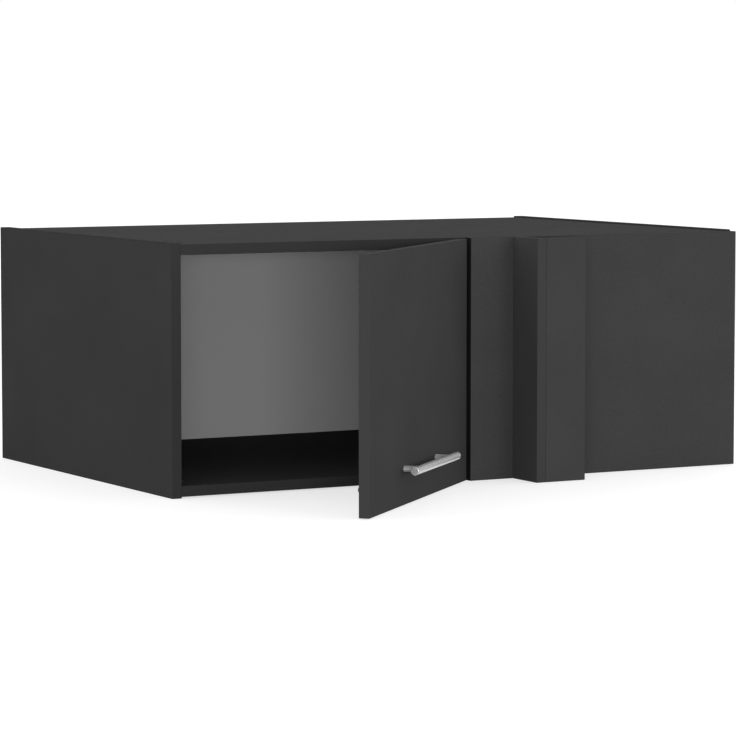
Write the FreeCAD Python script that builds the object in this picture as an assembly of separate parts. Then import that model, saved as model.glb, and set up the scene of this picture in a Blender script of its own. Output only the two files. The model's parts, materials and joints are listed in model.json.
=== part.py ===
import FreeCAD, Part

import math
import os

# Corner wall cabinet in plain boards, shown with its door part open.
# The left half of the front is a door, the right half is a fixed blind panel that a neighbouring
# row of cabinets covers, and an L of two filler strips keeps that row clear of the door.
# The door turns on two single-axis cup hinges, whose hooked arms reach round the door's edge.
# Millimetres. The origin is the middle of the four wall screw holes, on the wall.
# X runs to the right, Y into the wall and Z up.

# Carcass
width = 1000.0
depth = 645.0
height = 380.0
board = 16.0
edge_radius = 0.8
panel_end_inset = 2.3
panel_rear_inset = 1.0
rear_recess = 36.0
back_thickness = 3.0
groove_depth = 6.0
groove_clearance = 0.2
rail_height = 70.0
post_depth = 100.0
post_lap = 5.0

# Wall screws, which pass the back panel by wider holes
wall_screw_inset = 100.0
wall_screw_hole_radius = 3.25
access_hole_radius = 6.0

# Fixed front: blind panel and the two filler strips
blind_width = 496.0
blind_bottom_reveal = 0.5
blind_top_reveal = 2.5
filler_width = 76.5
return_projection = 72.0
fixing_strip_width = 72.0

# Door, which fills the front beside the blind panel
door_joint = 7.5
door_bottom_reveal = 1.5
door_top_reveal = 4.5
door_side_reveal = 0.5
door_gap = 2.5
rest_opening = 43.4

# Bar handle
handle_spacing = 160.0
handle_overhang = 30.0
handle_radius = 6.0
handle_chamfer = 0.6
handle_post_radius = 4.5
handle_standoff = 25.0
handle_rise = 53.5
handle_screw_radius = 2.0
handle_screw_clearance = 0.25
handle_screw_engagement = 9.0
handle_thread_clearance = 0.05

# Door bumpers
bumper_radius = 4.0
bumper_height = 2.3
bumper_inset = 7.5
bumper_end_distance = 40.0

# Cup hinge, sizes in the door
hinge_end_distance = 72.0
cup_edge_distance = 3.0
cup_bore_radius = 17.5
cup_bore_depth = 13.0
cup_clearance = 0.1
cup_wall = 0.6
cup_floor = 0.4
flange_thickness = 1.0
flange_overlap = 0.9
cup_screw_spacing = 45.0
cup_screw_offset = 9.5
cup_lobe_radius = 6.0

# Hinge pin, whose barrel turns between two ears of the cup
pin_edge_distance = 6.5
barrel_floor_gap = 1.0
pin_radius = 1.3
pin_running_clearance = 0.05
pin_seat_clearance = 0.02
barrel_radius = 2.1
barrel_side_clearance = 0.3
ear_gap = 8.0
ear_thickness = 2.2
ear_margin = 1.6

# Hinge arm, a channel with a hooked nose, over its mounting plate
nose_inner_reach = 12.4
nose_thickness = 4.6
nose_crown = 1.0
nose_root = 14.0
arm_start = 8.0
arm_length = 52.0
arm_width = 16.0
arm_sheet = 1.5
arm_flange_height = 12.5
arm_fillet = 0.6
plate_start = 20.0
plate_length = 44.0
plate_thickness = 2.0
plate_width = 17.0
plate_wing_spacing = 32.0
plate_wing_radius = 6.5
plate_hole_line = 37.0
block_end_margin = 2.0
block_clearance = 0.3
lock_screw_share = 0.70
depth_screw_share = 0.30

# Screws and small fasteners
screw_head_radius = 3.6
screw_head_height = 2.2
screw_shank_radius = 1.8
screw_length = 12.0
screw_clearance = 0.1
strip_screw_head_radius = 3.6
strip_screw_head_depth = 3.2
strip_screw_length = 38.0
strip_screw_count = 3
strip_screw_end_distance = 50.0

# Cam fittings and dowels
cam_setback = 60.0
cam_radius = 7.4
cam_height = 12.2
cam_clearance = 0.1
cam_slot_length = 8.0
cam_slot_width = 1.4
cam_slot_depth = 1.8
bolt_thread_radius = 2.5
bolt_thread_length = 11.0
bolt_collar_radius = 3.5
bolt_collar_length = 17.5
bolt_neck_radius = 2.2
bolt_neck_length = 5.0
bolt_head_length = 3.0
bolt_clearance = 0.1
dowel_radius = 4.0
dowel_length = 30.0
dowel_in_face = 10.0
dowel_clearance = 0.05
dowel_end_gap = 0.5
dowel_spacing = 32.0
rail_dowel_spacing = 32.0
post_dowel_spacing = 60.0

# Steel angles behind the fixed front
angle_leg = 25.0
angle_width = 18.0
angle_sheet = 2.0
angle_bend_radius = 1.0
angle_hole_share = 0.62
angle_end_distance = 70.0
angle_step = 30.0

# One overrun for every cut that has to pass a surface
overrun = 1.0

# How far off an axis an edge may run and still count as along it, as a share of its length
straightness_share = 0.001

V = FreeCAD.Vector
X_AXIS = V(1, 0, 0)
Y_AXIS = V(0, 1, 0)
Z_AXIS = V(0, 0, 1)
FORWARD = V(0, -1, 0)
DOWN = V(0, 0, -1)

# Planes of the carcass
left = -width / 2
right = width / 2
front = -depth
bottom = -height / 2
top = height / 2
inner_left = left + board
inner_right = right - board
floor_bottom = bottom + panel_end_inset
floor_top = floor_bottom + board
ceiling_top = top - panel_end_inset
ceiling_bottom = ceiling_top - board
floor_middle = floor_bottom + board / 2
ceiling_middle = ceiling_top - board / 2
panel_rear = -panel_rear_inset
back_rear = -rear_recess
back_front = back_rear - back_thickness
rail_front = -board

# Planes of the fixed front, and of the centre post behind its free edge
blind_left = right - blind_width
blind_front = front - board
blind_bottom = bottom + blind_bottom_reveal
blind_top = top - blind_top_reveal
post_right = blind_left + post_lap
post_left = post_right - board
post_rear = front + post_depth
return_left = blind_left + filler_width
return_right = return_left + board
filler_front = blind_front - return_projection
filler_rear = filler_front + board

# Planes of the closed door, and the axis it turns on
door_left = left + door_side_reveal
door_right = blind_left - door_joint
door_bottom = bottom + door_bottom_reveal
door_top = top - door_top_reveal
door_back = front - door_gap
door_front = door_back - board
pin_x = door_right - pin_edge_distance
pin_y = door_back - (cup_bore_depth - cup_floor - barrel_floor_gap - barrel_radius)
cup_x = door_right - cup_edge_distance - cup_bore_radius
hinge_levels = {
    "lower": door_bottom + hinge_end_distance,
    "upper": door_top - hinge_end_distance,
}


def block(x0, x1, y0, y1, z0, z1):
    """A box between two corners."""
    return Part.makeBox(x1 - x0, y1 - y0, z1 - z0, V(x0, y0, z0))


def rod(radius, length, start, direction):
    """A cylinder from start along direction."""
    return Part.makeCylinder(radius, length, start, direction)


def fused(shapes):
    """One solid from shapes that meet, without the seams between them."""
    return shapes[0].multiFuse(shapes[1:]).removeSplitter()


def softened(shape, radius, axes):
    """The shape with its straight edges along the named axes rounded."""
    def runs_along(edge):
        way = edge.Vertexes[-1].Point - edge.Vertexes[0].Point
        return any(way.cross(axis).Length < way.Length * straightness_share for axis in axes)
    return shape.makeFillet(radius, [edge for edge in shape.Edges if runs_along(edge)])


def free_board(x0, x1, y0, y1, z0, z1):
    """A board with every edge banded and slightly rounded."""
    return softened(block(x0, x1, y0, y1, z0, z1), edge_radius, (X_AXIS, Y_AXIS, Z_AXIS))


def without(shape, tools):
    """The shape less every tool."""
    return shape.cut(tools) if tools else shape


def pan_screw(seat, direction):
    """A short screw whose domed head sits on seat and whose shank runs along direction."""
    head = rod(screw_head_radius, screw_head_height, seat, direction * -1)
    rim = [edge for edge in head.Edges if (edge.CenterOfMass - seat).Length > screw_head_height / 2
           and isinstance(edge.Curve, Part.Circle)]
    head = head.makeFillet(screw_head_height / 2, rim)
    return fused([head, rod(screw_shank_radius, screw_length, seat, direction)])


def screw_bore(seat, direction):
    """The hole that a short screw needs in what it holds and what it bites into."""
    start = seat - direction * overrun
    return rod(screw_shank_radius + screw_clearance, screw_length + overrun * 2, start, direction)


# Dowels and cam fittings

def dowel(joint, direction):
    """A dowel set dowel_in_face deep against direction, with the rest along it."""
    return rod(dowel_radius - dowel_clearance, dowel_length, joint - direction * dowel_in_face, direction)


def dowel_bore(joint, direction):
    """The hole for a dowel, cut from both boards of a joint."""
    start = joint - direction * (dowel_in_face + dowel_end_gap)
    return rod(dowel_radius, dowel_length + dowel_end_gap * 2, start, direction)


def cam_rows():
    """Y of each cam in a top or bottom panel, with the dowel beside it."""
    front_row = front + cam_setback
    rear_row = panel_rear - cam_setback
    return [(front_row, front_row + dowel_spacing), (rear_row, rear_row - dowel_spacing)]


def bolt_start(side, y, z):
    """The point where a cam bolt leaves the inner face of the side panel on that side."""
    return V(side * inner_right, y, z)


def cam_bolt(side, y, z):
    """A cam bolt: thread in the side panel, collar, neck and head in the flat panel."""
    start = bolt_start(side, y, z)
    inward = V(-side, 0, 0)
    neck_start = start + inward * bolt_collar_length
    head_start = neck_start + inward * bolt_neck_length
    return fused([
        rod(bolt_thread_radius, bolt_thread_length, start, inward * -1),
        rod(bolt_collar_radius, bolt_collar_length, start, inward),
        rod(bolt_neck_radius, bolt_neck_length, neck_start, inward),
        rod(bolt_collar_radius, bolt_head_length, head_start, inward),
    ])


def bolt_bores(side, y, z):
    """The thread hole in the side panel and the long hole in the flat panel's end."""
    start = bolt_start(side, y, z)
    inward = V(-side, 0, 0)
    reach = bolt_collar_length + bolt_neck_length + bolt_head_length
    thread_radius = bolt_thread_radius + bolt_clearance
    collar_radius = bolt_collar_radius + bolt_clearance
    thread_hole = rod(thread_radius, bolt_thread_length + bolt_clearance, start, inward * -1)
    collar_hole = rod(collar_radius, reach + bolt_clearance, start, inward)
    return thread_hole, collar_hole


def cam_seat(side, y, z):
    """The middle of a cam's open face, on the inside face of the flat panel, and the way into it."""
    reach = bolt_collar_length + bolt_neck_length + bolt_head_length / 2
    face = floor_top if z < 0 else ceiling_bottom
    return V(side * (inner_right - reach), y, face), V(0, 0, math.copysign(1, z))


def cam_pocket(side, y, z):
    """The round pocket that a cam turns in."""
    seat, inward = cam_seat(side, y, z)
    return rod(cam_radius + cam_clearance, cam_height + cam_clearance, seat, inward)


def cam_lock(side, y, z):
    """A cam: a drum with a passage for the bolt's head and a cross slot in its face."""
    seat, inward = cam_seat(side, y, z)
    drum = rod(cam_radius, cam_height, seat, inward)
    passage = rod(bolt_collar_radius + bolt_clearance, cam_radius + bolt_head_length,
                  V(seat.x - side * (bolt_head_length / 2 + bolt_clearance), y, z), V(side, 0, 0))
    long, short = cam_slot_length / 2, cam_slot_width / 2
    low, high = seat.z - cam_slot_depth, seat.z + cam_slot_depth
    slots = [block(seat.x - half_x, seat.x + half_x, seat.y - half_y, seat.y + half_y, low, high)
             for half_x, half_y in ((long, short), (short, long))]
    return drum.cut([passage] + slots)


def cam_places():
    """Side, Y and Z of every cam fitting."""
    return [(side, cam_y, z) for side in (-1, 1) for z in (floor_middle, ceiling_middle)
            for cam_y, _ in cam_rows()]


def panel_dowel_places(side, z):
    """Joint points of the dowels between one side panel and one flat panel."""
    return [V(side * inner_right, dowel_y, z) for _, dowel_y in cam_rows()]


def rail_levels():
    """The middle heights of the two wall rails."""
    return {"lower": floor_top + rail_height / 2, "upper": ceiling_bottom - rail_height / 2}


def rail_dowel_places(side):
    """Joint points of the dowels between the rails and one side panel."""
    return [V(side * inner_right, rail_front / 2, level + step * rail_dowel_spacing / 2)
            for level in rail_levels().values() for step in (-1, 1)]


def side_dowel_places(side):
    """Every dowel joint on the inner face of one side panel."""
    flat = [place for z in (floor_middle, ceiling_middle) for place in panel_dowel_places(side, z)]
    return flat + rail_dowel_places(side)


def post_dowel_places(z):
    """Joint points of the dowels at one end of the centre post."""
    middle = front + post_depth / 2
    return [V((post_left + post_right) / 2, middle + step * post_dowel_spacing / 2, z) for step in (-1, 1)]


# Steel angles and their screws

def angle_places():
    """Corner, the two leg directions and the width direction of each steel angle."""
    places = []
    for z, inward in ((floor_top + angle_end_distance, 1), (ceiling_bottom - angle_end_distance, -1)):
        places.append((V(inner_right, front, z), X_AXIS * -1, Y_AXIS, Z_AXIS))
        places.append((V(return_right, blind_front, z), X_AXIS, FORWARD, Z_AXIS))
        places.append((V(return_right, filler_rear, z + inward * angle_step), X_AXIS, Y_AXIS, Z_AXIS))
    middle = (post_right + inner_right) / 2
    places.append((V(middle, front, floor_top), Z_AXIS, Y_AXIS, X_AXIS))
    places.append((V(middle, front, ceiling_bottom), DOWN, Y_AXIS, X_AXIS))
    return places


def leg_plate(corner, along, normal, across):
    """One leg of an angle: a plate along one way, its sheet standing up along normal."""
    start = corner - across * (angle_width / 2)
    size = along * angle_leg + normal * angle_sheet + across * angle_width
    end = start + size
    return block(min(start.x, end.x), max(start.x, end.x), min(start.y, end.y), max(start.y, end.y),
                 min(start.z, end.z), max(start.z, end.z))


def angle_screw_seats(place):
    """Where the two screws of an angle sit, and the way each runs."""
    corner, first, second, across = place
    reach = angle_leg * angle_hole_share
    return [(corner + first * reach + second * angle_sheet, second * -1),
            (corner + second * reach + first * angle_sheet, first * -1)]


def steel_angle(place):
    """A steel angle, bent round inside and outside, with a hole in each leg."""
    corner, first, second, across = place
    plate = fused([leg_plate(corner, first, second, across), leg_plate(corner, second, first, across)])
    inside = corner + (first + second) * angle_sheet
    for spot, radius in ((corner, angle_bend_radius + angle_sheet), (inside, angle_bend_radius)):
        bend = [edge for edge in plate.Edges if (edge.CenterOfMass - spot).Length < angle_sheet / 2]
        plate = plate.makeFillet(radius, bend)
    return without(plate, [screw_bore(seat, way) for seat, way in angle_screw_seats(place)])


def angle_screw_bores():
    """The holes of every angle's screws, for the boards they bite into."""
    return [screw_bore(seat, way) for place in angle_places() for seat, way in angle_screw_seats(place)]


# Carcass boards

def back_groove():
    """The groove for the back panel, as one block that reaches into all four boards."""
    return block(inner_left - groove_depth, inner_right + groove_depth,
                 back_front - groove_clearance, back_rear + groove_clearance,
                 floor_top - groove_depth, ceiling_bottom + groove_depth)


def side_panel(side):
    """A side panel, full height, with its groove and the holes of its fittings."""
    outer, inner = side * right, side * inner_right
    panel = free_board(min(outer, inner), max(outer, inner), front, 0, bottom, top)
    tools = [back_groove()]
    tools += [dowel_bore(place, V(-side, 0, 0)) for place in side_dowel_places(side)]
    tools += [bolt_bores(*place)[0] for place in cam_places() if place[0] == side]
    tools += angle_screw_bores()
    return without(panel, tools)


def flat_panel(z0, z1, joint_z):
    """The top or bottom panel, between the sides."""
    panel = softened(block(inner_left, inner_right, front, panel_rear, z0, z1), edge_radius, (X_AXIS,))
    middle = (z0 + z1) / 2
    tools = [back_groove()]
    for side in (-1, 1):
        tools += [dowel_bore(place, V(-side, 0, 0)) for place in panel_dowel_places(side, middle)]
        for cam_y, _ in cam_rows():
            tools += [bolt_bores(side, cam_y, middle)[1], cam_pocket(side, cam_y, middle)]
    inward = V(0, 0, -math.copysign(1, middle))
    tools += [dowel_bore(place, inward) for place in post_dowel_places(joint_z)]
    tools += angle_screw_bores()
    return without(panel, tools)


def wall_screw_places():
    """X and Z of the four wall screws."""
    return [(side * (right - wall_screw_inset), level)
            for side in (-1, 1) for level in rail_levels().values()]


def back_panel():
    """The thin back, held in the grooves, with a wide hole before each wall screw."""
    reach = groove_depth - groove_clearance
    panel = block(inner_left - reach, inner_right + reach, back_front, back_rear,
                  floor_top - reach, ceiling_bottom + reach)
    length = back_thickness + overrun * 2
    return without(panel, [rod(access_hole_radius, length, V(x, back_front - overrun, z), Y_AXIS)
                           for x, z in wall_screw_places()])


def wall_rail(level):
    """A rail between the sides, flush with the wall, with its wall screw holes."""
    rail = block(inner_left, inner_right, rail_front, 0, level - rail_height / 2, level + rail_height / 2)
    tools = [rod(wall_screw_hole_radius, board + overrun * 2, V(x, rail_front - overrun, z), Y_AXIS)
             for x, z in wall_screw_places()]
    for side in (-1, 1):
        tools += [dowel_bore(place, V(-side, 0, 0)) for place in rail_dowel_places(side)]
    return without(rail, tools)


def centre_post():
    """The upright behind the meeting of door and blind panel, which carries the hinges."""
    post = block(post_left, post_right, front, post_rear, floor_top, ceiling_bottom)
    tools = [dowel_bore(place, Z_AXIS) for place in post_dowel_places(floor_top)]
    tools += [dowel_bore(place, DOWN) for place in post_dowel_places(ceiling_bottom)]
    for level in hinge_levels.values():
        tools += [screw_bore(seat, X_AXIS) for seat in plate_screw_seats(level)]
    return without(post, tools)


# Fixed front

def strip_screw_levels():
    """Heights of the screws that hold the return strip."""
    low = blind_bottom + strip_screw_end_distance
    step = (blind_top - blind_bottom - strip_screw_end_distance * 2) / (strip_screw_count - 1)
    return [low + step * index for index in range(strip_screw_count)]


def strip_screw(level, clearance):
    """A countersunk screw from behind the blind panel into the return strip, or its hole."""
    start = V((return_left + return_right) / 2, front, level)
    wide = strip_screw_head_radius + clearance
    narrow = screw_shank_radius + clearance
    head = Part.makeCone(wide, narrow, strip_screw_head_depth, start, FORWARD)
    return fused([head, rod(narrow, strip_screw_length + clearance, start, FORWARD)])


def blind_panel():
    """The fixed panel in the door's plane, over the blind half of the cabinet."""
    panel = free_board(blind_left, right, blind_front, front, blind_bottom, blind_top)
    tools = [strip_screw(level, screw_clearance) for level in strip_screw_levels()]
    return without(panel, tools + angle_screw_bores())


def return_strip():
    """The filler strip that stands out of the blind panel."""
    strip = free_board(return_left, return_right, filler_front, blind_front, blind_bottom, blind_top)
    tools = [strip_screw(level, screw_clearance) for level in strip_screw_levels()]
    return without(strip, tools + angle_screw_bores())


def fixing_strip():
    """The filler strip that the neighbouring cabinet is screwed against."""
    strip = free_board(return_right, return_right + fixing_strip_width, filler_front, filler_rear,
                       blind_bottom, blind_top)
    return without(strip, angle_screw_bores())


# Hinges, built with the door closed

def ear_block(level, side):
    """One ear of the cup, above or below the barrel."""
    near = level + side * ear_gap / 2
    far = near + side * ear_thickness
    reach = pin_radius + ear_margin
    return block(pin_x - reach, pin_x + reach, door_back - cup_bore_depth + cup_floor, pin_y + reach,
                 min(near, far), max(near, far))


def pin_bore(level):
    """The hole for the pin through both ears, no longer than they are, so that the shell stays whole."""
    half = ear_gap / 2 + ear_thickness
    return rod(pin_radius + pin_seat_clearance, half * 2, V(pin_x, pin_y, level - half), Z_AXIS)


def hinge_cup(level):
    """The steel cup with its screw flange, and the ears that hold the pin."""
    outer_radius = cup_bore_radius - cup_clearance
    inner_radius = outer_radius - cup_wall
    mouth = V(cup_x, door_back, level)
    shell = rod(outer_radius, cup_bore_depth - cup_clearance, mouth, FORWARD)
    rim = rod(cup_bore_radius + flange_overlap, flange_thickness, mouth, Y_AXIS)
    lobe_x = cup_x - cup_screw_offset
    half = cup_screw_spacing / 2
    web = block(lobe_x - cup_lobe_radius, lobe_x + cup_lobe_radius, door_back, door_back + flange_thickness,
                level - half, level + half)
    lobes = [rod(cup_lobe_radius, flange_thickness, seat - Y_AXIS * flange_thickness, Y_AXIS)
             for seat in cup_screw_seats(level)]
    cup = fused([shell, rim, web] + lobes)
    cavity = rod(inner_radius, cup_bore_depth - cup_floor + flange_thickness + overrun,
                 mouth + Y_AXIS * (flange_thickness + overrun), FORWARD)
    cavity = cavity.cut(rod(outer_radius, cup_floor + flange_thickness + overrun,
                            mouth + FORWARD * (cup_bore_depth - cup_floor), FORWARD))
    inside = rod(outer_radius, cup_bore_depth - cup_clearance, mouth, FORWARD)
    ears = [ear_block(level, side).common(inside) for side in (-1, 1)]
    cup = fused([cup.cut(cavity)] + ears)
    bores = [screw_bore(seat, FORWARD) for seat in cup_screw_seats(level)]
    return cup.cut([pin_bore(level)] + bores)


def hinge_pin(level):
    """The pin, as long as the barrel and both ears."""
    half = ear_gap / 2 + ear_thickness
    return rod(pin_radius, half * 2, V(pin_x, pin_y, level - half), Z_AXIS)


def cup_screw_seats(level):
    """Where the two cup screws sit, on the flange."""
    return [V(cup_x - cup_screw_offset, door_back + flange_thickness, level + side * cup_screw_spacing / 2)
            for side in (-1, 1)]


def nose_profile():
    """Outline of the arm's hook seen from above: along the arm, down into the cup and across to the pin."""
    inner_x = pin_x - nose_inner_reach
    outer_x = inner_x - nose_thickness
    low_y = pin_y - barrel_radius
    high_y = pin_y + nose_crown
    root_y = front + nose_root
    bend = nose_thickness / 2
    corner = V(outer_x + bend, low_y + bend, 0)
    middle = corner + V(-bend, -bend, 0) * math.sqrt(0.5)
    edges = [
        Part.makeLine(V(pin_x, low_y, 0), V(outer_x + bend, low_y, 0)),
        Part.Arc(V(outer_x + bend, low_y, 0), middle, V(outer_x, low_y + bend, 0)).toShape(),
        Part.makeLine(V(outer_x, low_y + bend, 0), V(outer_x, root_y, 0)),
        Part.makeLine(V(outer_x, root_y, 0), V(inner_x, root_y, 0)),
        Part.makeLine(V(inner_x, root_y, 0), V(inner_x, high_y, 0)),
        Part.makeLine(V(inner_x, high_y, 0), V(pin_x, high_y, 0)),
        Part.makeLine(V(pin_x, high_y, 0), V(pin_x, low_y, 0)),
    ]
    return Part.Face(Part.Wire(edges))


def arm_left():
    """X of the arm's outer sheet face, in line with its nose."""
    return pin_x - nose_inner_reach - nose_thickness


def lock_screw_seat(level, share):
    """Where a screw of the arm sits, on its sheet, at a share of the arm's length."""
    return V(arm_left(), front + arm_start + arm_length * share, level)


def hinge_arm(level):
    """The arm: a sheet channel over the plate, and a solid hooked nose with a barrel."""
    half = arm_width / 2
    start = front + arm_start
    outer = arm_left()
    web = block(outer, outer + arm_sheet, start, start + arm_length, level - half, level + half)
    walls = []
    for side in (-1, 1):
        near, far = sorted((level + side * half, level + side * (half - arm_sheet)))
        walls.append(block(outer, outer + arm_flange_height, start, start + arm_length, near, far))
    channel = fused([web] + walls)
    channel = softened_corners(channel, outer, level)
    nose_half = ear_gap / 2 - barrel_side_clearance
    nose = nose_profile()
    nose.translate(V(0, 0, level - nose_half))
    nose = nose.extrude(V(0, 0, nose_half * 2))
    barrel = rod(barrel_radius, nose_half * 2, V(pin_x, pin_y, level - nose_half), Z_AXIS)
    pin_hole = rod(pin_radius + pin_running_clearance, nose_half * 2 + overrun * 2,
                   V(pin_x, pin_y, level - nose_half - overrun), Z_AXIS)
    tools = [pin_hole] + [arm_screw_bore(level, share) for share in (lock_screw_share, depth_screw_share)]
    return fused([channel, nose, barrel]).cut(tools)


def softened_corners(channel, outer, level):
    """The channel with the long outer bends of its sheet rounded."""
    bends = []
    for edge in channel.Edges:
        middle = edge.CenterOfMass
        at_web = abs(middle.x - outer) < arm_fillet
        at_side = abs(abs(middle.z - level) - arm_width / 2) < arm_fillet
        if at_web and at_side and edge.Length > arm_length / 2:
            bends.append(edge)
    return channel.makeFillet(arm_fillet, bends)


def arm_screw_bore(level, share):
    """The hole of one arm screw, through the sheet and into the plate's block."""
    return screw_bore(lock_screw_seat(level, share), X_AXIS)


def plate_screw_seats(level):
    """Where the two screws of a mounting plate sit, on its wings."""
    return [V(post_left - plate_thickness, front + plate_hole_line, level + side * plate_wing_spacing / 2)
            for side in (-1, 1)]


def hinge_plate(level):
    """The mounting plate: a base with two wings on the post, and the block that the arm slides over."""
    half = plate_width / 2
    start = front + plate_start
    foot = post_left - plate_thickness
    base = block(foot, post_left, start, start + plate_length, level - half, level + half)
    wing_y = front + plate_hole_line
    reach = plate_wing_spacing / 2
    web = block(foot, post_left, wing_y - plate_wing_radius, wing_y + plate_wing_radius,
                level - reach, level + reach)
    wings = [rod(plate_wing_radius, plate_thickness, seat, X_AXIS) for seat in plate_screw_seats(level)]
    inner_half = arm_width / 2 - arm_sheet - block_clearance
    block_left = arm_left() + arm_sheet
    raised = block(block_left, foot, start + block_end_margin,
                   start + plate_length - block_end_margin, level - inner_half, level + inner_half)
    plate = fused([base, web, raised] + wings)
    bores = [screw_bore(seat, X_AXIS) for seat in plate_screw_seats(level)]
    bores += [arm_screw_bore(level, share) for share in (lock_screw_share, depth_screw_share)]
    return plate.cut(bores)


# Door, built closed and then turned to where the photograph has it

def opened(shape):
    """The shape turned about the hinge pins from closed to the rest opening."""
    turned = shape.copy()
    turned.rotate(V(pin_x, pin_y, 0), Z_AXIS, rest_opening)
    return turned


def handle_feet():
    """Where the two handle posts stand, on the door's front face."""
    middle = (door_left + door_right) / 2
    return {"left": V(middle - handle_spacing / 2, door_front, door_bottom + handle_rise),
            "right": V(middle + handle_spacing / 2, door_front, door_bottom + handle_rise)}


def door_panel():
    """The door leaf with its cup bores and the holes of the handle and the cup screws."""
    leaf = free_board(door_left, door_right, door_front, door_back, door_bottom, door_top)
    tools = []
    for level in hinge_levels.values():
        mouth = V(cup_x, door_back + overrun, level)
        tools.append(rod(cup_bore_radius, cup_bore_depth + overrun, mouth, FORWARD))
        tools += [screw_bore(seat, FORWARD) for seat in cup_screw_seats(level)]
    hole_radius = handle_screw_radius + handle_screw_clearance
    for foot in handle_feet().values():
        tools.append(rod(hole_radius, board + overrun * 2, foot - Y_AXIS * overrun, Y_AXIS))
    return leaf.cut(tools)


def handle_bar():
    """The round bar with chamfered ends."""
    length = handle_spacing + handle_overhang * 2
    start = handle_feet()["left"] + V(-handle_overhang, -handle_standoff, 0)
    bar = rod(handle_radius, length, start, X_AXIS)
    rims = [edge for edge in bar.Edges if isinstance(edge.Curve, Part.Circle)]
    return bar.makeChamfer(handle_chamfer, rims)


def handle_post(foot):
    """A post from the door to the bar, hollowed to the bar's round and threaded for its screw."""
    post = rod(handle_post_radius, handle_standoff, foot, FORWARD)
    seat = rod(handle_radius, handle_post_radius * 2 + overrun * 2,
               foot + V(-handle_post_radius - overrun, -handle_standoff, 0), X_AXIS)
    thread = rod(handle_screw_radius + handle_thread_clearance, handle_screw_engagement + overrun,
                 foot + Y_AXIS * overrun, FORWARD)
    return post.cut([seat, thread])


def handle_screw(foot):
    """A machine screw from the inside of the door into a handle post."""
    seat = foot + Y_AXIS * board
    head = rod(screw_head_radius, screw_head_height, seat, Y_AXIS)
    shank = rod(handle_screw_radius, board + handle_screw_engagement - overrun, seat, FORWARD)
    return fused([head, shank])


def door_bumper(level):
    """A round soft bumper inside the door, which meets the side panel's edge."""
    body = rod(bumper_radius, bumper_height, V(left + bumper_inset, door_back, level), Y_AXIS)
    rim = [edge for edge in body.Edges if edge.CenterOfMass.y > door_back + bumper_height / 2
           and isinstance(edge.Curve, Part.Circle)]
    return body.makeFillet(bumper_height / 2, rim)


def fixed_pieces():
    """Every piece of the carcass, by name."""
    sides = (-1, 1)
    angles = angle_places()
    post_joints = ((floor_top, Z_AXIS), (ceiling_bottom, DOWN))
    arm_shares = (lock_screw_share, depth_screw_share)
    pieces = {
        "left_side_panel": side_panel(-1),
        "right_side_panel": side_panel(1),
        "bottom_panel": flat_panel(floor_bottom, floor_top, floor_top),
        "top_panel": flat_panel(ceiling_bottom, ceiling_top, ceiling_bottom),
        "back_panel": back_panel(),
        "centre_post": centre_post(),
        "blind_panel": blind_panel(),
        "return_strip": return_strip(),
        "fixing_strip": fixing_strip(),
        "return_strip_screws": Part.makeCompound([strip_screw(level, 0) for level in strip_screw_levels()]),
        "steel_angles": Part.makeCompound([steel_angle(place) for place in angles]),
        "steel_angle_screws": Part.makeCompound([pan_screw(*seat) for place in angles
                                                 for seat in angle_screw_seats(place)]),
        "cam_locks": Part.makeCompound([cam_lock(*place) for place in cam_places()]),
        "cam_bolts": Part.makeCompound([cam_bolt(*place) for place in cam_places()]),
        "side_dowels": Part.makeCompound([dowel(place, V(-side, 0, 0)) for side in sides
                                          for place in side_dowel_places(side)]),
        "post_dowels": Part.makeCompound([dowel(place, way) for z, way in post_joints
                                          for place in post_dowel_places(z)]),
    }
    for name, level in rail_levels().items():
        pieces[name + "_wall_rail"] = wall_rail(level)
    for name, level in hinge_levels.items():
        pieces[name + "_hinge_plate"] = hinge_plate(level)
        pieces[name + "_hinge_arm"] = hinge_arm(level)
        plate_screws = [pan_screw(seat, X_AXIS) for seat in plate_screw_seats(level)]
        arm_screws = [pan_screw(lock_screw_seat(level, share), X_AXIS) for share in arm_shares]
        pieces[name + "_plate_screws"] = Part.makeCompound(plate_screws)
        pieces[name + "_arm_screws"] = Part.makeCompound(arm_screws)
    return pieces


def door_pieces():
    """Every piece that swings with the door, by name, as if the door were closed."""
    pieces = {"door_panel": door_panel(), "handle_bar": handle_bar()}
    for name, foot in handle_feet().items():
        pieces[name + "_handle_post"] = handle_post(foot)
    pieces["handle_screws"] = Part.makeCompound([handle_screw(foot) for foot in handle_feet().values()])
    for name, level in hinge_levels.items():
        pieces[name + "_hinge_cup"] = hinge_cup(level)
        pieces[name + "_hinge_pin"] = hinge_pin(level)
        cup_screws = [pan_screw(seat, FORWARD) for seat in cup_screw_seats(level)]
        pieces[name + "_cup_screws"] = Part.makeCompound(cup_screws)
    pieces["lower_door_bumper"] = door_bumper(door_bottom + bumper_end_distance)
    pieces["upper_door_bumper"] = door_bumper(door_top - bumper_end_distance)
    return pieces


def main():
    """Build every piece and write one STEP file for each."""
    os.makedirs("parts", exist_ok=True)
    pieces = fixed_pieces()
    pieces.update({name: opened(shape) for name, shape in door_pieces().items()})
    for name, shape in pieces.items():
        shape.exportStep(os.path.join("parts", name + ".step"))


main()
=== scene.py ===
import json
import math

import bmesh
import bpy
from mathutils import Matrix, Vector


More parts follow.
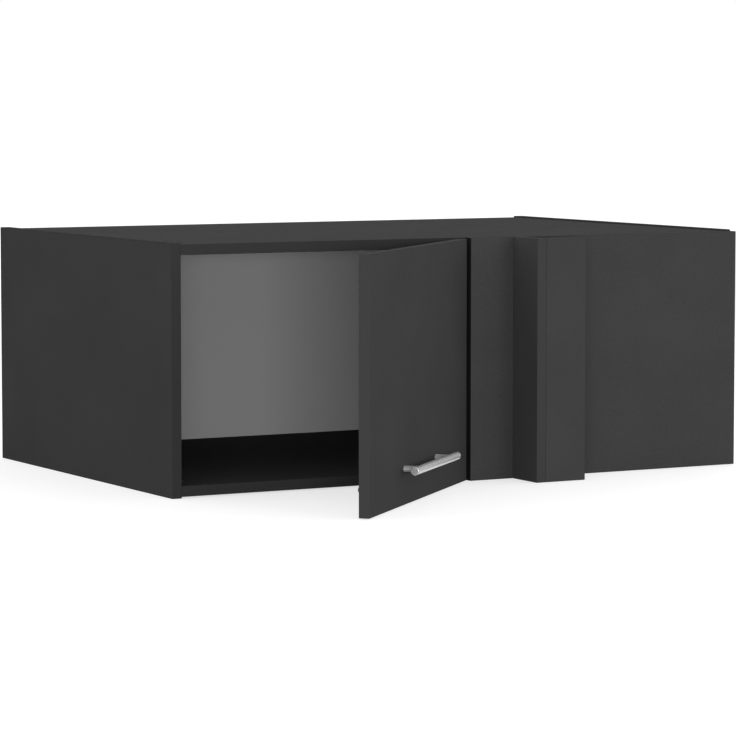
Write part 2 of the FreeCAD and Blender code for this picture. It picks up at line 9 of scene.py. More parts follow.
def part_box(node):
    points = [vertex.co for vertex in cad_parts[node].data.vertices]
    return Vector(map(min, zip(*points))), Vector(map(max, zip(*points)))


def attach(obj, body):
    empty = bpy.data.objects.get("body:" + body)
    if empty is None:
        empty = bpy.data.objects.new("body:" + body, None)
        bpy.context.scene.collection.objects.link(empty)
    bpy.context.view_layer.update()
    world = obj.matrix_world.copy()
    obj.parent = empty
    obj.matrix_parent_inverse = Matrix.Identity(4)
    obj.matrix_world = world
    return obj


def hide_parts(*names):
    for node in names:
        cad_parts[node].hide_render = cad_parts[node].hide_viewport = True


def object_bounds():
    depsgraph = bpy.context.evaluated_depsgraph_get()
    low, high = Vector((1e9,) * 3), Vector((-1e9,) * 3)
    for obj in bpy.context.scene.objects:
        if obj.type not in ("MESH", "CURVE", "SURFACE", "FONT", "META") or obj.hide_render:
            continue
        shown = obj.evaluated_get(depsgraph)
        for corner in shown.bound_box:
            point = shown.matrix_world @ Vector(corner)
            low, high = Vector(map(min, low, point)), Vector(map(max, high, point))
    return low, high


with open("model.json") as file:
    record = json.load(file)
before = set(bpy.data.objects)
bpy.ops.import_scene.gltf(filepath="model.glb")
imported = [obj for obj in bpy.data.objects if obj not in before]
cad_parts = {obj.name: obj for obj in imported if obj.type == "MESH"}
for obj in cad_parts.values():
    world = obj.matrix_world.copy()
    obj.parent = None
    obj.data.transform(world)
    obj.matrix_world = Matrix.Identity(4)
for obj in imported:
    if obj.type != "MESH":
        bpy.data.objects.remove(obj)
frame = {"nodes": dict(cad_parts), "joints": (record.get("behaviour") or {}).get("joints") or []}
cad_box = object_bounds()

# Corner wall cabinet: anthracite melamine boards, a light grey back, a satin steel bar handle and
# nickel plated cup hinges. Metres, in the frame's own axes: +X right, +Y into the wall, +Z up.
# A tone is a linear grey or colour, and the scale of a noise is in features per metre.

MM = 0.001
X, Y, Z = range(3)

# The door stands open at rest, and this turn closes it
JOINT = frame["joints"][0]
PIN = Vector(JOINT["pos_m"])
OPENING = -math.radians(JOINT["range_deg"][0])
TO_CLOSED = Matrix.Translation(PIN) @ Matrix.Rotation(-OPENING, 4, "Z") @ Matrix.Translation(-PIN)


# Node trees

# Sockets of the Mix node for colours and for numbers: share, first, second and result
COLOUR_MIX = ("RGBA", 0, 6, 7, 2)
NUMBER_MIX = ("FLOAT", 0, 2, 3, 0)

NOISE_MIDDLE = 0.5
NOISE_SPREAD = 0.2      # nearly all values of a noise lie this close to its middle


class Tree:
    """A node tree, emptied, with short calls for the nodes used here."""

    def __init__(self, tree):
        self.tree = tree
        tree.nodes.clear()

    def node(self, kind, inputs=None, **settings):
        made = self.tree.nodes.new(kind)
        for name, value in settings.items():
            setattr(made, name, value)
        for name, value in (inputs or {}).items():
            self.put(made.inputs[name], value)
        return made

    def put(self, socket, value):
        if isinstance(value, bpy.types.NodeSocket):
            self.tree.links.new(value, socket)
        else:
            socket.default_value = value

    def math(self, operation, a, b=0.0, c=0.0):
        return self.node("ShaderNodeMath", {0: a, 1: b, 2: c}, operation=operation).outputs[0]

    def span(self, value, low, high, to_low=0.0, to_high=1.0):
        """value carried smoothly from one span to another, and held at its ends."""
        return self.node("ShaderNodeMapRange", {"Value": value, "From Min": low, "From Max": high,
                                                "To Min": to_low, "To Max": to_high},
                         interpolation_type="SMOOTHSTEP").outputs[0]

    def even(self, value, to_low=0.0, to_high=1.0, spread=NOISE_SPREAD):
        """A noise, whose values gather round its middle, carried over a whole span."""
        return self.span(value, NOISE_MIDDLE - spread, NOISE_MIDDLE + spread, to_low, to_high)

    def between(self, kind, share, a, b):
        data_type, factor, first, second, result = kind
        made = self.node("ShaderNodeMix", {factor: share, first: a, second: b}, data_type=data_type)
        return made.outputs[result]

    def mix(self, share, a, b):
        """The colour that lies a share of the way from a to b."""
        return self.between(COLOUR_MIX, share, a, b)

    def blend(self, share, a, b):
        """The number that lies a share of the way from a to b."""
        return self.between(NUMBER_MIX, share, a, b)


class Graph(Tree):
    """A node material with one Principled shader. A door's place and normal are those of the closed door."""

    def __init__(self, name, body="carcass"):
        self.material = bpy.data.materials.new(name)
        self.material.use_nodes = True
        super().__init__(self.material.node_tree)
        self.shader = self.node("ShaderNodeBsdfPrincipled")
        self.node("ShaderNodeOutputMaterial", {"Surface": self.shader.outputs[0]})
        coordinates = self.node("ShaderNodeTexCoord")
        self.place = coordinates.outputs["Object"]
        self.normal = coordinates.outputs["Normal"]
        if body == "door":
            self.place = self.turned(self.place, PIN)
            self.normal = self.turned(self.normal, (0, 0, 0))
        self.p = self.node("ShaderNodeSeparateXYZ", {"Vector": self.place}).outputs
        self.n = self.node("ShaderNodeSeparateXYZ", {"Vector": self.normal}).outputs

    def set(self, **inputs):
        """Sets or links sockets of the shader, whose names are given with underscores."""
        for name, value in inputs.items():
            self.put(self.shader.inputs[name.replace("_", " ")], value)

    def turned(self, vector, centre):
        """A vector of the open door, as if the door were closed."""
        return self.node("ShaderNodeVectorRotate", {"Vector": vector, "Center": centre, "Angle": -OPENING},
                         rotation_type="Z_AXIS").outputs[0]

    def stretched(self, scale):
        return self.node("ShaderNodeMapping", {"Vector": self.place, "Scale": scale}).outputs[0]

    def noise(self, scale, detail=2.0, roughness=0.5, vector=None):
        return self.node("ShaderNodeTexNoise", {"Vector": vector or self.place, "Scale": scale,
                                                "Detail": detail, "Roughness": roughness}).outputs[0]

    def bump(self, height, distance, strength=1.0):
        inputs = {"Height": height, "Distance": distance, "Strength": strength}
        return self.node("ShaderNodeBump", inputs).outputs[0]


def grey(level):
    return (level, level, level, 1)


# Boards: anthracite decor on the faces, bands on the edges that show, raw chipboard elsewhere

DECOR_LIGHT = 0.051
DECOR_DARK = 0.034
DECOR_GRAIN = 1400
DECOR_CLOUD = 9
DECOR_CLOUD_SHARE = 0.15
DECOR_SPREAD = 0.17
DECOR_ROUGH = (0.66, 0.74)
DECOR_ROUGH_CLOUD = 90
RETURN_PAINTED_LIGHT = 1.2       # painted light: the return strip's decor is made this much lighter, to offset the fixed front's shade that it stands in

CARCASS_BAND = 0.030
FRONT_BAND = 0.040
# Painted shade: near-black tone for the blind panel's edge beside the door, standing in for the deep shade
# of the slot there
HINGE_SIDE_PAINTED_SHADE = 0.012
BAND_DRIFT = 0.06
BAND_ROUGH = 0.6
BAND_REACH = 0.9 * MM
BAND_THICKNESS = 1.0 * MM
BAND_FACING = 0.35      # least part of the normal along an axis with which an edge faces that way
FACE_FACING = 0.5       # and with which a face does

SEAM = 0.008
SEAM_SHARE = 0.35
SEAM_HALF_WIDTH = 0.12 * MM

CHIP_LIGHT = (0.50, 0.37, 0.23, 1)
CHIP_DARK = (0.27, 0.18, 0.10, 1)
CHIPS = 420
CHIP_STRETCH = 0.4
CHIP_DUST = 260
CHIP_DUST_SHARE = 0.5
CHIP_SPREAD = 0.25
CHIP_RELIEF = 6.0
CHIP_ROUGH = 0.9

PEARL = 1900
PEARL_ON_BAND = 0.3
BOARD_RELIEF = 0.05 * MM
BOARD_RELIEF_STRENGTH = 0.8
BOARD_SPECULAR = 0.005


def edge_mask(g, low, high, axis, sign):
    """1 on the edge of a board that faces one way along an axis."""
    near = g.math("COMPARE", g.p[axis], high[axis] if sign > 0 else low[axis], BAND_REACH)
    facing = g.math("GREATER_THAN", g.math("MULTIPLY", g.n[axis], sign), BAND_FACING)
    return g.math("MULTIPLY", near, facing)


def board_masks(g, low, high, thin, banded):
    """Where a board shows its edge bands, the fine joint beside each band, and raw chipboard."""
    near_face = g.math("MAXIMUM", g.math("COMPARE", g.p[thin], low[thin], BAND_REACH),
                       g.math("COMPARE", g.p[thin], high[thin], BAND_REACH))
    facing = g.math("GREATER_THAN", g.math("ABSOLUTE", g.n[thin]), FACE_FACING)
    face = g.math("MULTIPLY", near_face, facing)
    band, seam, covered = 0.0, 0.0, face
    for axis, sign in banded:
        edge = high[axis] if sign > 0 else low[axis]
        joint = edge - sign * BAND_THICKNESS
        band = g.math("MAXIMUM", band, edge_mask(g, low, high, axis, sign))
        covered = g.math("MAXIMUM", covered, g.math("COMPARE", g.p[axis], edge, BAND_THICKNESS))
        seam = g.math("MAXIMUM", seam, g.math("COMPARE", g.p[axis], joint, SEAM_HALF_WIDTH))
    return band, g.math("MULTIPLY", seam, face), g.math("SUBTRACT", 1.0, covered)


def melamine(g, band, seam, band_tone, painted_light):
    """Colour of the faces, with a pearl grain and faint clouds, of the bands and of their joints."""
    grain = g.noise(DECOR_GRAIN, detail=3, roughness=0.6)
    cloud = g.noise(DECOR_CLOUD, detail=3)
    shade = g.even(g.blend(DECOR_CLOUD_SHARE, grain, cloud), spread=DECOR_SPREAD)
    # Painted light: a factor above 1 multiplies the decor's tones for a board that stands in shade, so that
    # it looks lit
    decor = g.mix(shade, grey(DECOR_DARK * painted_light), grey(DECOR_LIGHT * painted_light))
    decor = g.mix(g.math("MULTIPLY", seam, SEAM_SHARE), decor, grey(SEAM))
    satin = g.mix(grain, grey(band_tone * (1 - BAND_DRIFT)), grey(band_tone * (1 + BAND_DRIFT)))
    return g.mix(band, decor, satin)


def chipboard(g, low, high):
    """Colour and relief of raw chipboard, whose chips lie along the board."""
    stretch = [1.0, 1.0, 1.0]
    stretch[max(range(3), key=lambda axis: high[axis] - low[axis])] = CHIP_STRETCH
    chips = g.node("ShaderNodeTexVoronoi", {"Vector": g.stretched(stretch), "Scale": CHIPS})
    tone = g.node("ShaderNodeSeparateColor", {"Color": chips.outputs["Color"]}).outputs[0]
    dusty = g.blend(CHIP_DUST_SHARE, tone, g.noise(CHIP_DUST, detail=4))
    colour = g.mix(g.even(dusty, spread=CHIP_SPREAD), CHIP_DARK, CHIP_LIGHT)
    return colour, g.math("MULTIPLY", chips.outputs["Distance"], CHIP_RELIEF)


def board_material(name, low, high, thin, banded, body="carcass", band_tone=CARCASS_BAND, painted_light=1.0,
                   painted_shade_edge=None):
    """A board from low to high, thin along one axis, with bands on the edges listed as (axis, sign)."""
    g = Graph(name, body)
    band, seam, raw = board_masks(g, low, high, thin, banded)
    surface = melamine(g, band, seam, band_tone, painted_light)
    # Painted shade: one edge of a board can be painted near black, standing in for the shade of a narrow
    # slot
    if painted_shade_edge:
        surface = g.mix(edge_mask(g, low, high, *painted_shade_edge), surface, grey(HINGE_SIDE_PAINTED_SHADE))
    chips, chip_relief = chipboard(g, low, high)
    g.set(Base_Color=g.mix(raw, surface, chips), Specular_IOR_Level=BOARD_SPECULAR)
    rough = g.blend(band, g.even(g.noise(DECOR_ROUGH_CLOUD), *DECOR_ROUGH), BAND_ROUGH)
    g.set(Roughness=g.blend(raw, rough, CHIP_ROUGH))
    pearl = g.math("MULTIPLY", g.noise(PEARL, detail=1), g.blend(band, 1.0, PEARL_ON_BAND))
    height = g.blend(raw, g.math("SUBTRACT", pearl, seam), chip_relief)
    g.set(Normal=g.bump(height, BOARD_RELIEF, strength=BOARD_RELIEF_STRENGTH))
    return g.material


# The back: light grey lacquer towards the inside, bare brown fibre towards the wall

LACQUER = (0.425, 0.445)
LACQUER_SPECKS = 420
LACQUER_CLOUD = 6
LACQUER_CLOUD_SHARE = 0.3
LACQUER_PEEL = 900
LACQUER_PEEL_SHARE = 0.4
LACQUER_ROUGH = 0.45

FIBRE_DARK = (0.16, 0.085, 0.04, 1)
FIBRE_LIGHT = (0.34, 0.21, 0.11, 1)
FIBRES = 500
FIBRE_STRETCH = (0.35, 1.0, 1.0)
FIBRE_PATCHES = 14
FIBRE_PATCH_SHARE = 0.4
FIBRE_ROUGH = 0.82

BACK_INSIDE = -0.5      # the inner face's normal has less than this along +Y
BACK_RELIEF = 0.08 * MM
BACK_SPECULAR = 0.35


def back_material():
    """Thin hardboard, lacquered on its inner side only."""
    g = Graph("back_board")
    inside = g.math("LESS_THAN", g.n[Y], BACK_INSIDE)
    specks = g.blend(LACQUER_CLOUD_SHARE, g.noise(LACQUER_SPECKS, detail=3), g.noise(LACQUER_CLOUD))
    lacquer = g.mix(g.even(specks), *map(grey, LACQUER))
    fibres = g.noise(FIBRES, detail=5, roughness=0.7, vector=g.stretched(FIBRE_STRETCH))
    patchy = g.blend(FIBRE_PATCH_SHARE, fibres, g.noise(FIBRE_PATCHES, detail=3))
    brown = g.mix(g.even(patchy), FIBRE_DARK, FIBRE_LIGHT)
    g.set(Base_Color=g.mix(inside, brown, lacquer), Specular_IOR_Level=BACK_SPECULAR)
    g.set(Roughness=g.blend(inside, FIBRE_ROUGH, LACQUER_ROUGH))
    peel = g.math("MULTIPLY", g.noise(LACQUER_PEEL, detail=1), LACQUER_PEEL_SHARE)
    g.set(Normal=g.bump(g.blend(inside, fibres, peel), BACK_RELIEF, strength=0.5))
    return g.material


# Brushed steel of the handle. The brush lines' scales are small along the brushing.

BAR_LINES = (6, 5200, 5200)
POST_LINES = (5200, 12, 5200)
STREAK_WIDTH = 13       # a streak is as wide as this many brush lines
STREAK_SHARE = 0.88
STREAK_SPREAD = 0.15
STEEL = (0.56, 0.88)
TURNED_END = (0.42, 0.52)
END_FACING = 0.8
STEEL_METALLIC = 0.6
STEEL_ROUGH = (0.20, 0.30)
BRUSH_RELIEF = 0.012 * MM


def brushed_steel(name, lines):
    """Satin steel with fine brush lines, broader streaks, and turned ends."""
    g = Graph(name, "door")
    brush = g.noise(1.0, detail=3, roughness=0.7, vector=g.stretched(lines))
    streaks = g.noise(1.0, vector=g.stretched([scale / STREAK_WIDTH for scale in lines]))
    tone = g.even(g.blend(STREAK_SHARE, brush, streaks), spread=STREAK_SPREAD)
    along = lines.index(min(lines))
    end = g.math("GREATER_THAN", g.math("ABSOLUTE", g.n[along]), END_FACING)
    steel = g.mix(tone, *map(grey, STEEL))
    g.set(Base_Color=g.mix(end, steel, g.mix(brush, *map(grey, TURNED_END))), Metallic=STEEL_METALLIC)
    g.set(Roughness=g.even(g.blend(0.5, brush, streaks), *STEEL_ROUGH))
    g.set(Normal=g.bump(brush, BRUSH_RELIEF, strength=0.15))
    return g.material


# Plated and cast metal

NICKEL = {"dark": (0.56, 0.55, 0.53, 1), "light": (0.66, 0.65, 0.63, 1), "tint": (0.60, 0.56, 0.50, 1),
          "rough": 0.20, "grain": 1500}
ZINC = {"dark": (0.47, 0.49, 0.51, 1), "light": (0.62, 0.64, 0.66, 1), "tint": (0.60, 0.60, 0.52, 1),
        "rough": 0.28, "grain": 1200}
CAST_ZINC = {"dark": (0.14, 0.14, 0.145, 1), "light": (0.24, 0.24, 0.245, 1), "tint": (0.20, 0.20, 0.19, 1),
             "rough": 0.45, "grain": 900}
PLATING_CLOUD = 120
TINT_CLOUD = 35
TINT_SPAN = (0.4, 0.7)
TINT_SHARE = 0.5
PLATING_ROUGH_CLOUD = 240
PLATING_ROUGH_RISE = 0.12
PLATING_METALLIC = 0.75
PLATING_RELIEF = 0.01 * MM


def plated_metal(name, dark, light, tint, rough, grain, body="carcass"):
    """Clouds of tone, a tint that drifts over them, and a fine grain."""
    g = Graph(name, body)
    base = g.mix(g.even(g.noise(PLATING_CLOUD, detail=4, roughness=0.6)), dark, light)
    drift = g.span(g.noise(TINT_CLOUD), *TINT_SPAN, 0.0, TINT_SHARE)
    g.set(Base_Color=g.mix(drift, base, tint), Metallic=PLATING_METALLIC)
    g.set(Roughness=g.even(g.noise(PLATING_ROUGH_CLOUD, detail=3), rough, rough + PLATING_ROUGH_RISE))
    g.set(Normal=g.bump(g.noise(grain), PLATING_RELIEF, strength=0.25))
    return g.material


# Beech of the dowels, and the bumpers' polymer

BEECH_DARK = (0.42, 0.27, 0.15, 1)
BEECH_LIGHT = (0.66, 0.49, 0.31, 1)
BEECH_FLECK = (0.25, 0.14, 0.07, 1)
BEECH_GRAIN = 900
BEECH_GRAIN_STRETCH = 0.06
BEECH_FLECKS = 1600
BEECH_FLECK_STRETCH = 0.12
BEECH_FLECK_SPAN = (0.62, 0.7)
BEECH_FLECK_SHARE = 0.6
BEECH_ROUGH = (0.5, 0.7)
BEECH_RELIEF = 0.05 * MM

POLYMER_DARK = (0.80, 0.80, 0.78, 1)
POLYMER_LIGHT = (0.90, 0.90, 0.88, 1)
POLYMER_CLOUD = 700
POLYMER_ROUGH = (0.10, 0.20)
POLYMER_RELIEF = 0.01 * MM


def beech_material(name, lengthways):
    """Turned beech: grain along the dowel with short dark flecks."""
    g = Graph(name)

    def along(stretch):
        return g.stretched([stretch if axis == lengthways else 1.0 for axis in range(3)])

    grain = g.noise(BEECH_GRAIN, detail=4, roughness=0.65, vector=along(BEECH_GRAIN_STRETCH))
    flecks = g.noise(BEECH_FLECKS, detail=1, vector=along(BEECH_FLECK_STRETCH))
    wood = g.mix(g.even(grain), BEECH_DARK, BEECH_LIGHT)
    flecked = g.span(flecks, *BEECH_FLECK_SPAN, 0.0, BEECH_FLECK_SHARE)
    g.set(Base_Color=g.mix(flecked, wood, BEECH_FLECK), Roughness=g.even(grain, *BEECH_ROUGH))
    g.set(Normal=g.bump(grain, BEECH_RELIEF, strength=0.5))
    return g.material


def bumper_material():
    """Soft clear polymer, slightly cloudy."""
    g = Graph("bumper_rubber", "door")
    cloud = g.noise(POLYMER_CLOUD, detail=3)
    g.set(Base_Color=g.mix(g.even(cloud), POLYMER_DARK, POLYMER_LIGHT), Transmission_Weight=0.95, IOR=1.45)
    g.set(Roughness=g.even(cloud, *POLYMER_ROUGH), Normal=g.bump(cloud, POLYMER_RELIEF, strength=0.5))
    return g.material


# Real screws, in place of the plain ones of the frame

# Profiles of the heads from the top down: share of the head's radius, millimetres below the top
PAN_HEAD = ((0.45, 0.0), (0.68, 0.10), (0.86, 0.42), (0.96, 0.90), (1.0, 1.5), (0.985, 2.12), (0.93, 2.2),
            (0.5, 2.2))
FLAT_HEAD = ((0.55, 0.0), (0.97, 0.0), (1.0, 0.1), (0.5, 3.2))

# Threads: radius of the shank, pitch, and the length over which the tip draws in
BOARD_THREAD = {"shank_radius": 1.8 * MM, "pitch": 1.6 * MM, "tip": 3.0 * MM}
LONG_THREAD = {"shank_radius": 1.8 * MM, "pitch": 2.2 * MM, "tip": 5.0 * MM}
MACHINE_THREAD = {"shank_radius": 2.0 * MM, "pitch": 0.7 * MM, "tip": 0.6 * MM}
CORE_SHARE = 0.74
CREST_SHARPNESS = 4
TIP_SHARE = 0.08
STEPS_PER_TURN = 6
SEGMENTS = 24

# The cross recess, in shares of the radius of the head's rim
RECESS_REACH = 0.55
RECESS_WIDTH = 0.15
RECESS_DEPTH = 0.5
RECESS_ABOVE = 1.15     # the cutter's reach above the head, in shares of RECESS_REACH
RECESS_FLOOR = 0.45     # and at the recess's floor

FIRST_TURN = 17         # degrees, so that no two recesses stand alike
NEXT_TURN = 37
WELD = 0.001 * MM
END_ZONE = 0.4          # a screw's ends lie further from its middle than this share of its length
SMOOTH_ANGLE = math.radians(35)


def lathe_rings(bm, rings):
    """Closed surface through rings of points from the first centre point to the last."""
    first = bm.verts.new(rings[0])
    last = bm.verts.new(rings[-1])
    loops = [[bm.verts.new(point) for point in points] for points in rings[1:-1]]
    for index in range(SEGMENTS):
        after = (index + 1) % SEGMENTS
        bm.faces.new((first, loops[0][after], loops[0][index]))
        for upper, lower in zip(loops, loops[1:]):
            bm.faces.new((upper[index], upper[after], lower[after], lower[index]))
        bm.faces.new((last, loops[-1][index], loops[-1][after]))


def ring(radius, z):
    """One ring of a turned shape. radius is a number, or a function of the turn, from 0 to 1."""
    points = []
    for index in range(SEGMENTS):
        turn = index / SEGMENTS
        r = radius(turn) if callable(radius) else radius
        points.append((r * math.cos(turn * math.tau), r * math.sin(turn * math.tau), z))
    return points


def screw_mesh(name, head, length, shank_radius, pitch, tip):
    """A screw along +Z from the top of its head: head profile, helical thread, tip and cross recess."""
    core = shank_radius * CORE_SHARE
    head_height = head[-1][1]
    rings = [(0, 0, 0)] + [ring(r, z) for r, z in head]
    steps = int((length - head_height) / pitch * STEPS_PER_TURN)

    def thread(z):
        drawn_in = max(min(1.0, (length - z) / tip), TIP_SHARE)

        def radius(turn):
            phase = ((z - head_height) / pitch - turn) % 1.0
            crest = max(0.0, 1.0 - abs(phase - 0.5) * CREST_SHARPNESS)
            return (core + (shank_radius - core) * crest) * drawn_in
        return radius

    for step in range(1, steps + 1):
        z = head_height + (length - head_height) * step / steps
        rings.append(ring(thread(z), z))
    rings.append((0, 0, length))
    bm = bmesh.new()
    lathe_rings(bm, rings)
    bmesh.ops.recalc_face_normals(bm, faces=bm.faces)
    mesh = bpy.data.meshes.new(name)
    bm.to_mesh(mesh)
    bm.free()
    rim_radius = head[-2][0]
    return recessed(mesh, rim_radius)


def add_taper(bm, half_x, half_y, depth):
    """One arm of the recess's cutter, which narrows only along its reach."""
    ends = []
    for z, share in ((-depth, RECESS_ABOVE), (depth, RECESS_FLOOR)):
        side_x = half_x * (share if half_x > half_y else 1.0)
        side_y = half_y * (share if half_y > half_x else 1.0)
        ends.append([bm.verts.new((x * side_x, y * side_y, z))
                     for x, y in ((-1, -1), (1, -1), (1, 1), (-1, 1))])
    above, floor = ends
    bm.faces.new(above[::-1])
    bm.faces.new(floor)
    for index in range(4):
        after = (index + 1) % 4
        bm.faces.new((above[index], above[after], floor[after], floor[index]))


def recessed(mesh, rim_radius):
    """The screw with a tapered cross cut into its head."""
    reach, width, depth = (rim_radius * share for share in (RECESS_REACH, RECESS_WIDTH, RECESS_DEPTH))
    bm = bmesh.new()
    add_taper(bm, reach, width, depth)
    add_taper(bm, width, reach, depth)
    tool_mesh = bpy.data.meshes.new("recess")
    bm.to_mesh(tool_mesh)
    bm.free()
    body = bpy.data.objects.new("screw_body", mesh)
    tool = bpy.data.objects.new("screw_recess", tool_mesh)
    for made in (body, tool):
        bpy.context.scene.collection.objects.link(made)
    cut = body.modifiers.new("recess", "BOOLEAN")
    cut.operation = "DIFFERENCE"
    cut.solver = "EXACT"
    cut.use_self = True
    cut.object = tool
    graph = bpy.context.evaluated_depsgraph_get()
    result = bpy.data.meshes.new_from_object(body.evaluated_get(graph))
    bpy.data.objects.remove(body)
    bpy.data.objects.remove(tool)
    return result


def loose_parts(bm):
    """The points of each separate solid of a mesh. The solid with the least corner comes first."""
    left = set(bm.verts)
    while left:
        start = min(left, key=lambda vert: tuple(round(c, 6) for c in vert.co))
        group, queue = {start}, [start]
        while queue:
            for edge in queue.pop().link_edges:
                for vert in edge.verts:
                    if vert not in group:
                        group.add(vert)
                        queue.append(vert)
        left -= group
        yield [vert.co.copy() for vert in group]


def corners(points):
    """The low and the high corner of the box round some points."""
    return [Vector([pick(p[axis] for p in points) for axis in range(3)]) for pick in (min, max)]


def screw_place(points):
    """Top of the head, direction, length and head radius of one plain screw."""
    low, high = corners(points)
    size, middle = high - low, (low + high) / 2
    axis = max(range(3), key=lambda a: size[a])
    radius = {}
    for sign in (-1, 1):
        end = [p for p in points if (p[axis] - middle[axis]) * sign > size[axis] * END_ZONE]
        radius[sign] = max(math.hypot(*[p[a] - middle[a] for a in range(3) if a != axis]) for p in end)
    head_side = max(radius, key=radius.get)
    head = middle.copy()
    head[axis] += head_side * size[axis] / 2
    way = Vector((0, 0, 0))
    way[axis] = -head_side
    return head, way, size[axis], radius[head_side]


def fastener_places(node, body):
    """The place of each screw of a node, with the door closed."""
    bm = bmesh.new()
    bm.from_mesh(frame["nodes"][node].data)
    if body == "door":
        bm.transform(TO_CLOSED)
    bmesh.ops.remove_doubles(bm, verts=bm.verts, dist=WELD)
    places = [screw_place(points) for points in loose_parts(bm)]
    bm.free()
    return places


def add_piece(name, mesh, material, body):
    """An object of the scene that rides on a body."""
    mesh.shade_smooth()
    mesh.set_sharp_from_angle(angle=SMOOTH_ANGLE)
    made = bpy.data.objects.new(name, mesh)
    mesh.materials.clear()
    mesh.materials.append(material)
    bpy.context.scene.collection.objects.link(made)
    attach(made, body)
    return made


def add_screws(node, body, material, head_profile=PAN_HEAD, thread=BOARD_THREAD):
    """Puts real screws, as one piece, where a node has plain ones. The first one's sizes serve for all."""
    bm = bmesh.new()
    places = fastener_places(node, body)
    length, radius = places[0][2:]
    one = screw_mesh(node + "_one", [(radius * r, z * MM) for r, z in head_profile], length, **thread)
    for index, (head, way, *_) in enumerate(places):
        turn = Matrix.Rotation(math.radians(FIRST_TURN + NEXT_TURN * index), 4, "Z")
        place = Matrix.Translation(head) @ way.to_track_quat("Z", "Y").to_matrix().to_4x4() @ turn
        if body == "door":
            place = TO_CLOSED.inverted() @ place
        copy = one.copy()
        copy.transform(place)
        bm.from_mesh(copy)
        bpy.data.meshes.remove(copy)
    joined = bpy.data.meshes.new(node + "_real")
    bm.to_mesh(joined)
    bm.free()
    piece = add_piece(node + "_real", joined, material, body)
    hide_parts(node)


# The object

CARCASS_BOARDS = {      # the axis along which each board is thin, and the edges that carry a band
    "left_side_panel": (X, ((Y, -1), (Z, -1), (Z, 1))),
    "right_side_panel": (X, ((Y, -1), (Z, -1), (Z, 1))),
    "bottom_panel": (Z, ((Y, -1),)),
    "top_panel": (Z, ((Y, -1),)),
    "centre_post": (X, ((Y, -1),)),
    "lower_wall_rail": (Y, ()),
    "upper_wall_rail": (Y, ()),
}
FRONT_EDGES = ((X, -1), (X, 1), (Z, -1), (Z, 1))
RETURN_EDGES = ((Y, -1), (Y, 1), (Z, -1), (Z, 1))


def give(node, material):
    """Gives a node of the frame its material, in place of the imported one."""
    mesh = frame["nodes"][node].data
    mesh.materials.clear()
    mesh.materials.append(material)


def closed_box(node):
    """The box of a door board as if the door were closed."""
    return corners([TO_CLOSED @ vert.co for vert in frame["nodes"][node].data.vertices])


def dress_boards():
    """Every board, with the edges that carry a band."""
    for node, (thin, banded) in CARCASS_BOARDS.items():
        give(node, board_material(node + "_board", *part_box(node), thin, banded))
    # Painted shade: the blind panel's edge in the slot beside the door is painted near black
    give("blind_panel", board_material("blind_panel_board", *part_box("blind_panel"), Y, FRONT_EDGES,
                                       band_tone=FRONT_BAND, painted_shade_edge=(X, -1)))
    give("fixing_strip", board_material("fixing_strip_board", *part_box("fixing_strip"), Y, FRONT_EDGES,
                                        band_tone=FRONT_BAND))
    # Painted light: the return strip's decor is lightened to offset the shade it stands in
    give("return_strip", board_material("return_strip_board", *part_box("return_strip"), X, RETURN_EDGES,
                                        band_tone=FRONT_BAND, painted_light=RETURN_PAINTED_LIGHT))
    give("door_panel", board_material("door_panel_board", *closed_box("door_panel"), Y, FRONT_EDGES, "door",
                                      band_tone=FRONT_BAND))
    give("back_panel", back_material())


def dress_metal():
    """Handle, hinges, angles, fittings and screws."""
    give("handle_bar", brushed_steel("handle_bar_steel", BAR_LINES))
    post_steel = brushed_steel("handle_post_steel", POST_LINES)
    for side in ("left", "right"):
        give(side + "_handle_post", post_steel)
    fixed_nickel = plated_metal("nickel_fixed", **NICKEL)
    door_nickel = plated_metal("nickel_door", **NICKEL, body="door")
    zinc = plated_metal("zinc_plate", **ZINC)
    door_zinc = plated_metal("zinc_plate_door", **ZINC, body="door")
    for level in ("lower", "upper"):
        for part in ("_hinge_plate", "_hinge_arm"):
            give(level + part, fixed_nickel)
        for part in ("_hinge_cup", "_hinge_pin"):
            give(level + part, door_nickel)
        for part in ("_plate_screws", "_arm_screws"):
            add_screws(level + part, "carcass", zinc)
        add_screws(level + "_cup_screws", "door", door_zinc)
    for node in ("steel_angles", "cam_bolts"):
        give(node, zinc)
    give("cam_locks", plated_metal("cast_zinc", **CAST_ZINC))
    add_screws("steel_angle_screws", "carcass", zinc)
    add_screws("return_strip_screws", "carcass", zinc, FLAT_HEAD, LONG_THREAD)
    add_screws("handle_screws", "door", door_zinc, PAN_HEAD, MACHINE_THREAD)


def dress_small():
    """Dowels and bumpers."""
    give("side_dowels", beech_material("side_dowel_beech", X))
    give("post_dowels", beech_material("post_dowel_beech", Z))
    polymer = bumper_material()
    for level in ("lower", "upper"):
        give(level + "_door_bumper", polymer)


# Floor, light and camera

FLOOR_LEVEL = cad_box[0][Z]
FLOOR_HALF = 60.0
FLOOR_PARTS = 8
FLOOR_PAINT = (0.45, 0.47)
FLOOR_CLOUD = 3.0
FLOOR_GLOW = 0.66
FRONT_FLOOR = (-1.1, -0.7)      # Y over which the floor's reflected glow rises to its whole
FRONT_FLOOR_GLOW = 0.35

SKY = 0.56
SKY_LOBES = (((-1, 0, 0), 0.48), ((1, 0, 0), 1.10), ((0, 1, 0), 0.50))
REFLECTED_FRONT = 0.5           # what reflections show of the studio before the object
REFLECTED_TURN = (0.1, 0.7)     # and the directions along Y over which that rises to white

# Place, size and watts of the two lamps, and the point that they face
KEY_LAMP = ((-3.02, -6.36, 0.25), (2.8, 0.8), 220)
FILL_LAMP = ((1.70, -6.84, 0.69), (2.0, 1.2), 70)
LAMP_TARGET = (0, -0.5, 0)

# Fitted to the photograph
CAMERA_PLACE = (-2.6879, -5.2025, 0.4250)
CAMERA_YAW = math.radians(28.936)
CAMERA_PITCH = math.radians(-4.753)
CAMERA_LENS = 167.57
CAMERA_SENSOR = 36.0
CAMERA_CLIP = (0.1, 200.0)


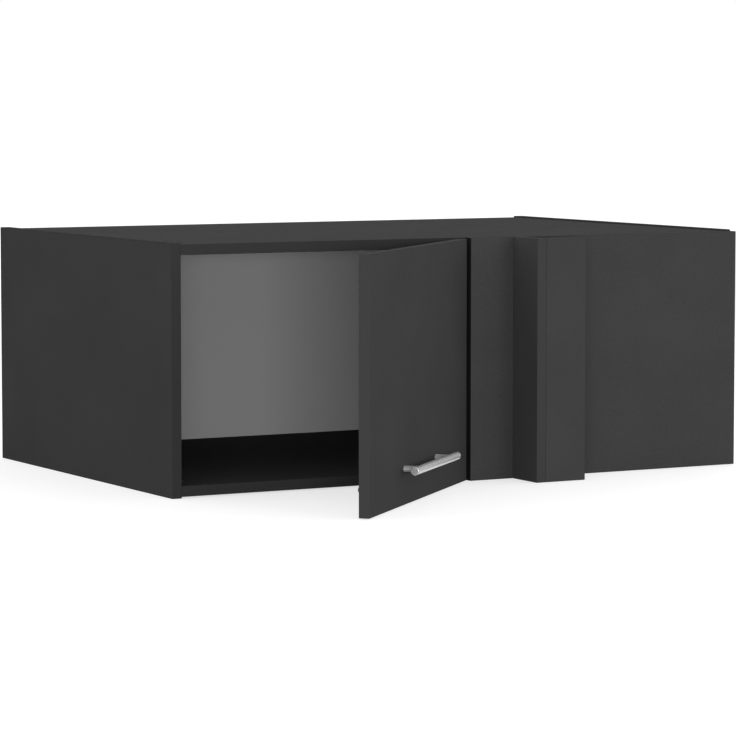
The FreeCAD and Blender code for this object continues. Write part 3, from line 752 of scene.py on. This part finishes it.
def add_floor():
    """A pale floor that goes to white where it is seen and keeps the object's shadow."""
    bm = bmesh.new()
    bmesh.ops.create_grid(bm, x_segments=FLOOR_PARTS, y_segments=FLOOR_PARTS, size=FLOOR_HALF)
    mesh = bpy.data.meshes.new("floor")
    bm.to_mesh(mesh)
    bm.free()
    floor = bpy.data.objects.new("floor", mesh)
    floor.location.z = FLOOR_LEVEL
    bpy.context.scene.collection.objects.link(floor)
    g = Graph("floor_paint")
    g.set(Base_Color=g.mix(g.noise(FLOOR_CLOUD), *map(grey, FLOOR_PAINT)), Roughness=0.8)
    g.set(Specular_IOR_Level=0.1, Emission_Color=(1, 1, 1, 1))
    path = g.node("ShaderNodeLightPath").outputs
    seen = g.math("MAXIMUM", path["Is Camera Ray"], path["Is Transmission Ray"])
    reflected = g.span(g.p[Y], *FRONT_FLOOR, FRONT_FLOOR_GLOW, 1.0)
    seen = g.math("MAXIMUM", seen, g.math("MULTIPLY", path["Is Glossy Ray"], reflected))
    g.set(Emission_Strength=g.math("MULTIPLY", seen, FLOOR_GLOW))
    mesh.materials.append(g.material)


def add_lamp(name, place, size, power):
    lamp = bpy.data.lights.new(name, "AREA")
    lamp.shape = "RECTANGLE"
    lamp.size, lamp.size_y = size
    lamp.energy = power
    made = bpy.data.objects.new(name, lamp)
    made.location = place
    made.rotation_euler = (Vector(LAMP_TARGET) - Vector(place)).to_track_quat("-Z", "Y").to_euler()
    bpy.context.scene.collection.objects.link(made)


def light_world():
    """An even pale studio: white where it is seen, and darker on the camera's side in reflections."""
    world = bpy.data.worlds.new("studio")
    world.use_nodes = True
    bpy.context.scene.world = world
    g = Tree(world.node_tree)
    direction = g.node("ShaderNodeTexCoord").outputs["Generated"]
    axes = g.node("ShaderNodeSeparateXYZ", {"Vector": direction}).outputs
    path = g.node("ShaderNodeLightPath").outputs
    lit = SKY
    for way, strength in SKY_LOBES:
        towards = g.node("ShaderNodeVectorMath", {0: direction, 1: way}, operation="DOT_PRODUCT")
        lobe = g.math("MAXIMUM", g.math("MULTIPLY", towards.outputs["Value"], strength), 0.0)
        lit = g.math("ADD", lit, lobe)
    reflected = g.span(axes[Y], *REFLECTED_TURN, REFLECTED_FRONT, 1.0)
    seen = g.math("MAXIMUM", path["Is Camera Ray"], path["Is Transmission Ray"])
    level = g.blend(seen, g.blend(path["Is Glossy Ray"], lit, reflected), 1.0)
    shader = g.node("ShaderNodeBackground", {"Color": (1, 1, 1, 1), "Strength": level})
    g.node("ShaderNodeOutputWorld", {"Surface": shader.outputs[0]})


def add_camera():
    data = bpy.data.cameras.new("photo_camera")
    data.lens = CAMERA_LENS
    data.sensor_width = CAMERA_SENSOR
    data.clip_start, data.clip_end = CAMERA_CLIP
    camera = bpy.data.objects.new("photo_camera", data)
    camera.location = CAMERA_PLACE
    camera.rotation_euler = (math.pi / 2 + CAMERA_PITCH, 0, -CAMERA_YAW)
    bpy.context.scene.collection.objects.link(camera)
    bpy.context.scene.camera = camera


def main():
    dress_boards()
    dress_metal()
    dress_small()
    add_floor()
    light_world()
    add_lamp("key", *KEY_LAMP)
    add_lamp("fill", *FILL_LAMP)
    add_camera()
    bpy.context.scene.view_settings.view_transform = "Standard"


main()
